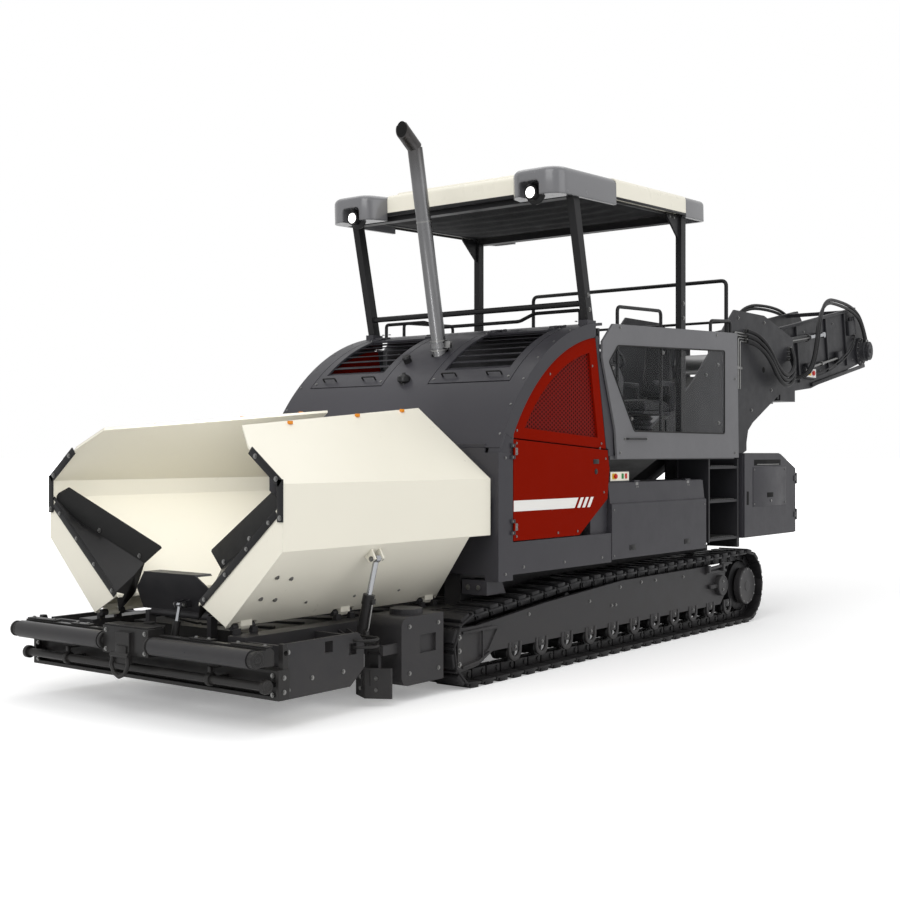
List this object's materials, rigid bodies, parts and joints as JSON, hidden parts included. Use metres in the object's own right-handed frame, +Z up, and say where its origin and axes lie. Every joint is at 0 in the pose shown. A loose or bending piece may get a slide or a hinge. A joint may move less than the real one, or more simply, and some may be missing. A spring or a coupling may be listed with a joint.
{
  "type": "mobile feeder",
  "caption": "Tracked mobile feeder with a folding front hopper, an operator's platform under a canopy and a swivel discharge conveyor at the rear.",
  "frame": {"origin": "centre of the overall length and width on the ground", "axes": "+X to the machine's left, +Y to its rear, +Z up"},
  "size_m": [2.542, 12.7899, 4.5223],
  "materials": {
    "anthracite": "satin paint",
    "black": "satin paint",
    "chrome": "polished",
    "cream": "satin paint",
    "exhaust": "heat-stained steel",
    "glass": "clear",
    "grey": "satin paint",
    "lamp": "clear",
    "plastic": "grained",
    "red": "satin paint",
    "rubber": "rubber",
    "steel": "worn steel",
    "track": "worn steel"
  },
  "bodies": {
    "chassis": {"main_frame": "anthracite", "hopper_frame": "anthracite", "bumper": "anthracite", "track_frames": "anthracite", "track_left": "track", "track_right": "track", "track_wheels": "anthracite", "final_drives": "anthracite", "engine": "anthracite", "hood": "anthracite", "exhaust": "exhaust", "body_sides": "anthracite", "mesh_panels": "red", "lockers": "anthracite", "tool_boxes": "anthracite", "ladders": "anthracite", "deck": "anthracite", "shields": "grey", "shield_glass": "glass", "seats": "plastic", "posts": "black", "canopy": "cream", "canopy_corners": "grey", "lamps": "lamp", "rails": "black", "conveyor_frame": "anthracite", "main_belt": "rubber"},
    "push_beam": {"push_beam": "anthracite"},
    "push_roller_left": {"push_roller_left": "anthracite"},
    "push_roller_right": {"push_roller_right": "anthracite"},
    "wing_left": {"wing_left": "cream", "flap_left": "rubber"},
    "wing_barrel_left": {"wing_barrel_left": "black"},
    "wing_rod_left": {"wing_rod_left": "chrome"},
    "wing_right": {"wing_right": "cream", "flap_right": "rubber"},
    "wing_barrel_right": {"wing_barrel_right": "black"},
    "wing_rod_right": {"wing_rod_right": "chrome"},
    "gate": {"gate": "anthracite"},
    "gate_barrel": {"gate_barrel": "black"},
    "gate_rod": {"gate_rod": "chrome"},
    "scraper_left": {"scraper_left": "anthracite"},
    "hatch_left": {"hatch_left": "anthracite"},
    "side_door_left": {"side_door_left": "red"},
    "locker_door_left": {"locker_door_left": "anthracite"},
    "tool_lid_left": {"tool_lid_left": "anthracite"},
    "scraper_right": {"scraper_right": "anthracite"},
    "hatch_right": {"hatch_right": "anthracite"},
    "side_door_right": {"side_door_right": "red"},
    "locker_door_right": {"locker_door_right": "anthracite"},
    "tool_lid_right": {"tool_lid_right": "anthracite"},
    "main_drum": {"main_drum": "steel"},
    "turntable": {"turntable": "anthracite"},
    "swivel": {"swivel_frame": "anthracite", "swivel_belt": "rubber"},
    "swivel_drum": {"swivel_drum": "steel"},
    "lift_barrel_left": {"lift_barrel_left": "black"},
    "lift_rod_left": {"lift_rod_left": "chrome"},
    "lift_barrel_right": {"lift_barrel_right": "black"},
    "lift_rod_right": {"lift_rod_right": "chrome"}
  },
  "joints": [
    {"name": "push_beam_pivot", "type": "hinge", "parent": "chassis", "child": "push_beam", "pos_m": [0, -6.14996, 0.5], "axis": [0, 0, 1], "range_deg": [-2, 2]},
    {"name": "push_roller_left_spin", "type": "hinge", "parent": "push_beam", "child": "push_roller_left", "pos_m": [0.725, -6.33496, 0.483], "axis": [1, 0, 0], "continuous": true},
    {"name": "push_roller_right_spin", "type": "hinge", "parent": "push_beam", "child": "push_roller_right", "pos_m": [-0.725, -6.33496, 0.483], "axis": [1, 0, 0], "continuous": true},
    {"name": "wing_left_fold", "type": "hinge", "parent": "chassis", "child": "wing_left", "pos_m": [0.674, -4.95496, 0.608], "axis": [0, 1, 0], "range_deg": [0, 30]},
    {"name": "wing_barrel_left_swing", "type": "hinge", "parent": "chassis", "child": "wing_barrel_left", "pos_m": [1.01, -5.13996, 0.42], "axis": [0, 1, 0], "range_deg": [-0.5, 29.35]},
    {"name": "wing_rod_left_stroke", "type": "slide", "parent": "wing_barrel_left", "child": "wing_rod_left", "axis": [0.2567, 0, 0.9665], "range_m": [-0.2026, 0.003]},
    {"name": "wing_right_fold", "type": "hinge", "parent": "chassis", "child": "wing_right", "pos_m": [-0.674, -4.95496, 0.608], "axis": [0, -1, 0], "range_deg": [0, 30]},
    {"name": "wing_barrel_right_swing", "type": "hinge", "parent": "chassis", "child": "wing_barrel_right", "pos_m": [-1.01, -5.13996, 0.42], "axis": [0, -1, 0], "range_deg": [-0.5, 29.35]},
    {"name": "wing_rod_right_stroke", "type": "slide", "parent": "wing_barrel_right", "child": "wing_rod_right", "axis": [-0.2567, 0, 0.9665], "range_m": [-0.2026, 0.003]},
    {"name": "gate_fold", "type": "hinge", "parent": "chassis", "child": "gate", "pos_m": [0, -5.86996, 0.63], "axis": [1, 0, 0], "range_deg": [0, 40]},
    {"name": "gate_barrel_swing", "type": "hinge", "parent": "chassis", "child": "gate_barrel", "pos_m": [0.1, -6.01996, 0.47], "axis": [1, 0, 0], "range_deg": [-0.5, 6.37]},
    {"name": "gate_rod_stroke", "type": "slide", "parent": "gate_barrel", "child": "gate_rod", "axis": [0, 0.2178, 0.976], "range_m": [-0.087, 0.003]},
    {"name": "scraper_left_lift", "type": "hinge", "parent": "chassis", "child": "scraper_left", "pos_m": [1.09, -5.04996, 0.38], "axis": [-1, 0, 0], "range_deg": [0, 35]},
    {"name": "hatch_left_open", "type": "hinge", "parent": "chassis", "child": "hatch_left", "pos_m": [0.67, -2.56742, 2.83705], "axis": [-1, 0, 0], "range_deg": [0, 55]},
    {"name": "side_door_left_open", "type": "hinge", "parent": "chassis", "child": "side_door_left", "pos_m": [1.262, -3.59496, 1.475], "axis": [0, 0, -1], "range_deg": [0, 95]},
    {"name": "locker_door_left_open", "type": "hinge", "parent": "chassis", "child": "locker_door_left", "pos_m": [1.21, -1.07996, 1.506], "axis": [0, -1, 0], "range_deg": [0, 90]},
    {"name": "tool_lid_left_open", "type": "hinge", "parent": "chassis", "child": "tool_lid_left", "pos_m": [1.254, 1.95604, 1.28], "axis": [0, 0, 1], "range_deg": [0, 95]},
    {"name": "scraper_right_lift", "type": "hinge", "parent": "chassis", "child": "scraper_right", "pos_m": [-1.09, -5.04996, 0.38], "axis": [-1, 0, 0], "range_deg": [0, 35]},
    {"name": "hatch_right_open", "type": "hinge", "parent": "chassis", "child": "hatch_right", "pos_m": [-0.67, -2.56742, 2.83705], "axis": [-1, 0, 0], "range_deg": [0, 55]},
    {"name": "side_door_right_open", "type": "hinge", "parent": "chassis", "child": "side_door_right", "pos_m": [-1.262, -3.59496, 1.475], "axis": [0, 0, 1], "range_deg": [0, 95]},
    {"name": "locker_door_right_open", "type": "hinge", "parent": "chassis", "child": "locker_door_right", "pos_m": [-1.21, -1.07996, 1.506], "axis": [0, 1, 0], "range_deg": [0, 90]},
    {"name": "tool_lid_right_open", "type": "hinge", "parent": "chassis", "child": "tool_lid_right", "pos_m": [-1.254, 1.95604, 1.28], "axis": [0, 0, -1], "range_deg": [0, 95]},
    {"name": "main_drum_spin", "type": "hinge", "parent": "chassis", "child": "main_drum", "pos_m": [0, 2.70004, 2.85], "axis": [1, 0, 0], "continuous": true},
    {"name": "swivel_slew", "type": "hinge", "parent": "chassis", "child": "turntable", "pos_m": [0, 3.40004, 2.425], "axis": [0, 0, 1], "range_deg": [-50, 50]},
    {"name": "swivel_lift", "type": "hinge", "parent": "turntable", "child": "swivel", "pos_m": [0, 3.40004, 2.75], "axis": [1, 0, 0], "range_deg": [-6, 12]},
    {"name": "swivel_drum_spin", "type": "hinge", "parent": "swivel", "child": "swivel_drum", "pos_m": [0, 6.26514, 3.20474], "axis": [1, 0, 0], "continuous": true},
    {"name": "lift_barrel_left_swing", "type": "hinge", "parent": "turntable", "child": "lift_barrel_left", "pos_m": [0.515, 3.32004, 3.13], "axis": [1, 0, 0], "range_deg": [-6.5, 12.49]},
    {"name": "lift_rod_left_stroke", "type": "slide", "parent": "lift_barrel_left", "child": "lift_rod_left", "axis": [0, 0.9904, 0.1381], "range_m": [-0.0842, 0.0436]},
    {"name": "lift_barrel_right_swing", "type": "hinge", "parent": "turntable", "child": "lift_barrel_right", "pos_m": [-0.515, 3.32004, 3.13], "axis": [1, 0, 0], "range_deg": [-6.5, 12.49]},
    {"name": "lift_rod_right_stroke", "type": "slide", "parent": "lift_barrel_right", "child": "lift_rod_right", "axis": [0, 0.9904, 0.1381], "range_m": [-0.0842, 0.0436]}
  ],
  "couplings": [
    {"joint": "wing_barrel_left_swing", "follows": "wing_left_fold", "ratio": 0.9616},
    {"joint": "wing_rod_left_stroke", "follows": "wing_left_fold", "m_per_rad": -0.38112},
    {"joint": "wing_barrel_right_swing", "follows": "wing_right_fold", "ratio": 0.9616},
    {"joint": "wing_rod_right_stroke", "follows": "wing_right_fold", "m_per_rad": -0.38112},
    {"joint": "gate_barrel_swing", "follows": "gate_fold", "ratio": 0.14666},
    {"joint": "gate_rod_stroke", "follows": "gate_fold", "m_per_rad": -0.12034},
    {"joint": "lift_barrel_left_swing", "follows": "swivel_lift", "ratio": 0.99941},
    {"joint": "lift_rod_left_stroke", "follows": "swivel_lift", "m_per_rad": -0.38756},
    {"joint": "lift_barrel_right_swing", "follows": "swivel_lift", "ratio": 0.99941},
    {"joint": "lift_rod_right_stroke", "follows": "swivel_lift", "m_per_rad": -0.38756}
  ]
}
